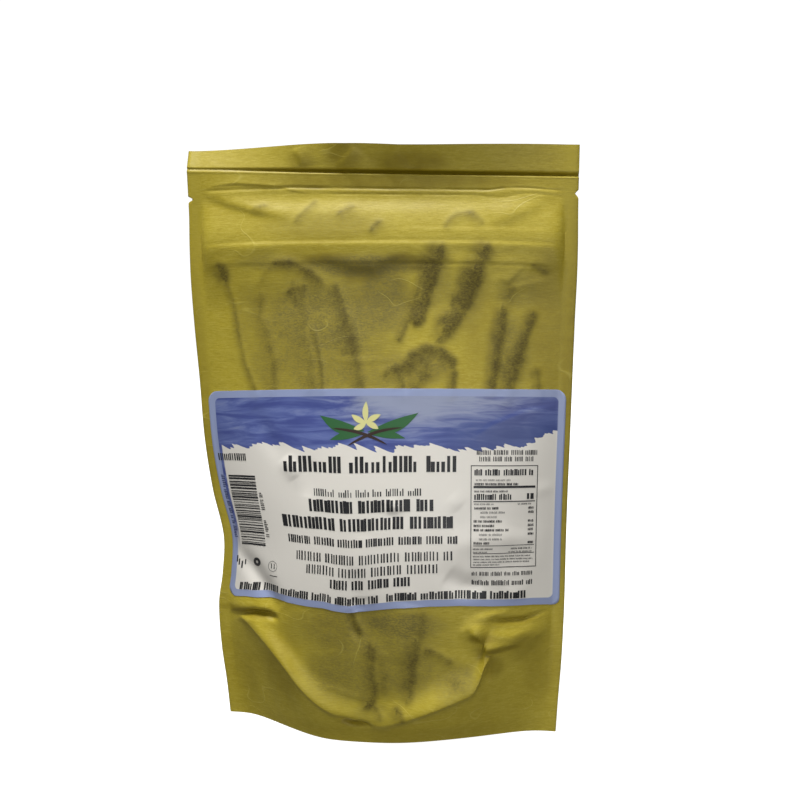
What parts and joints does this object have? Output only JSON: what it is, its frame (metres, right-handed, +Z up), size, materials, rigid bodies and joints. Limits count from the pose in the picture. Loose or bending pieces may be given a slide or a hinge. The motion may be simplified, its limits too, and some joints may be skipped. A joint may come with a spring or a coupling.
{
  "type": "stand-up pouch of vanilla pods",
  "caption": "Shut, filled stand-up pouch of gold rice-paper film with a bottom gusset, zip, sealed header with tear notches, and a wide paper label on its front.",
  "frame": {"origin": "on the floor under the middle of the standing pack's bounding box", "axes": "+X to the viewer's right as the label faces them, +Y from the front panel to the back panel, +Z up from the base to the header"},
  "size_m": [0.1538, 0.0478, 0.2395],
  "materials": {
    "film": "satin gold rice-paper film with fine cross fibres, a soft sheen, and dark pods showing faintly through it",
    "label_paper": "coated semi-gloss paper with a pale blue border, a blue wash along the top and plain dark print"
  },
  "bodies": {
    "root": {"pouch": "film", "label": "label_paper"}
  },
  "joints": []
}
